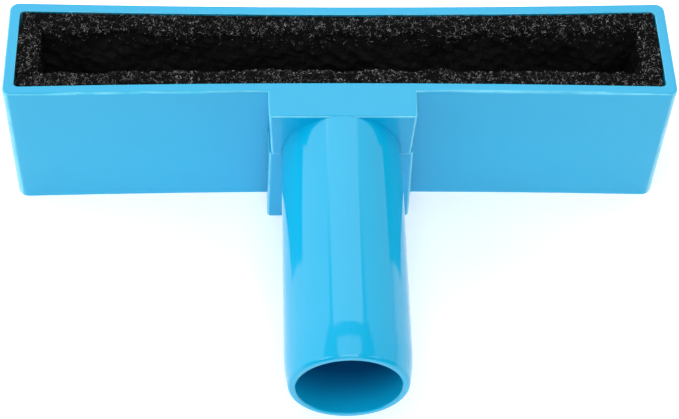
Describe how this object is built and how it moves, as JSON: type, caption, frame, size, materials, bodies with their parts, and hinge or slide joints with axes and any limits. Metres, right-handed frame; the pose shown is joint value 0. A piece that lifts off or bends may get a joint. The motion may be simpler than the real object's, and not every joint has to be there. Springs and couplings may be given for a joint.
{
  "type": "pool wall brush",
  "caption": "Long pile-lined trough in a moulded blue casing, with a round socket on one long side for a telescopic pole.",
  "frame": {"origin": "middle of the casing's flat back, which is the face it rests on", "axes": "+X along the trough, +Z out of the trough's open mouth; the pole socket points along -Y"},
  "size_m": [0.2172, 0.1347, 0.0551],
  "materials": {
    "shell_plastic": "gloss",
    "socket_plastic": "gloss",
    "pile": "curled pile",
    "backing_weave": "woven",
    "adhesive_tape": "matte",
    "screw_steel": "zinc plated"
  },
  "bodies": {
    "root": {"casing": "shell_plastic", "neck_saddle": "shell_plastic", "pole_socket": "socket_plastic", "back_cover": "shell_plastic", "saddle_screws": "screw_steel", "front_pile": "pile", "front_backing": "backing_weave", "front_tape": "adhesive_tape", "rear_pile": "pile", "rear_backing": "backing_weave", "rear_tape": "adhesive_tape", "left_pile": "pile", "left_backing": "backing_weave", "left_tape": "adhesive_tape", "right_pile": "pile", "right_backing": "backing_weave", "right_tape": "adhesive_tape", "floor_pile": "pile", "floor_backing": "backing_weave", "floor_tape": "adhesive_tape"}
  },
  "joints": []
}
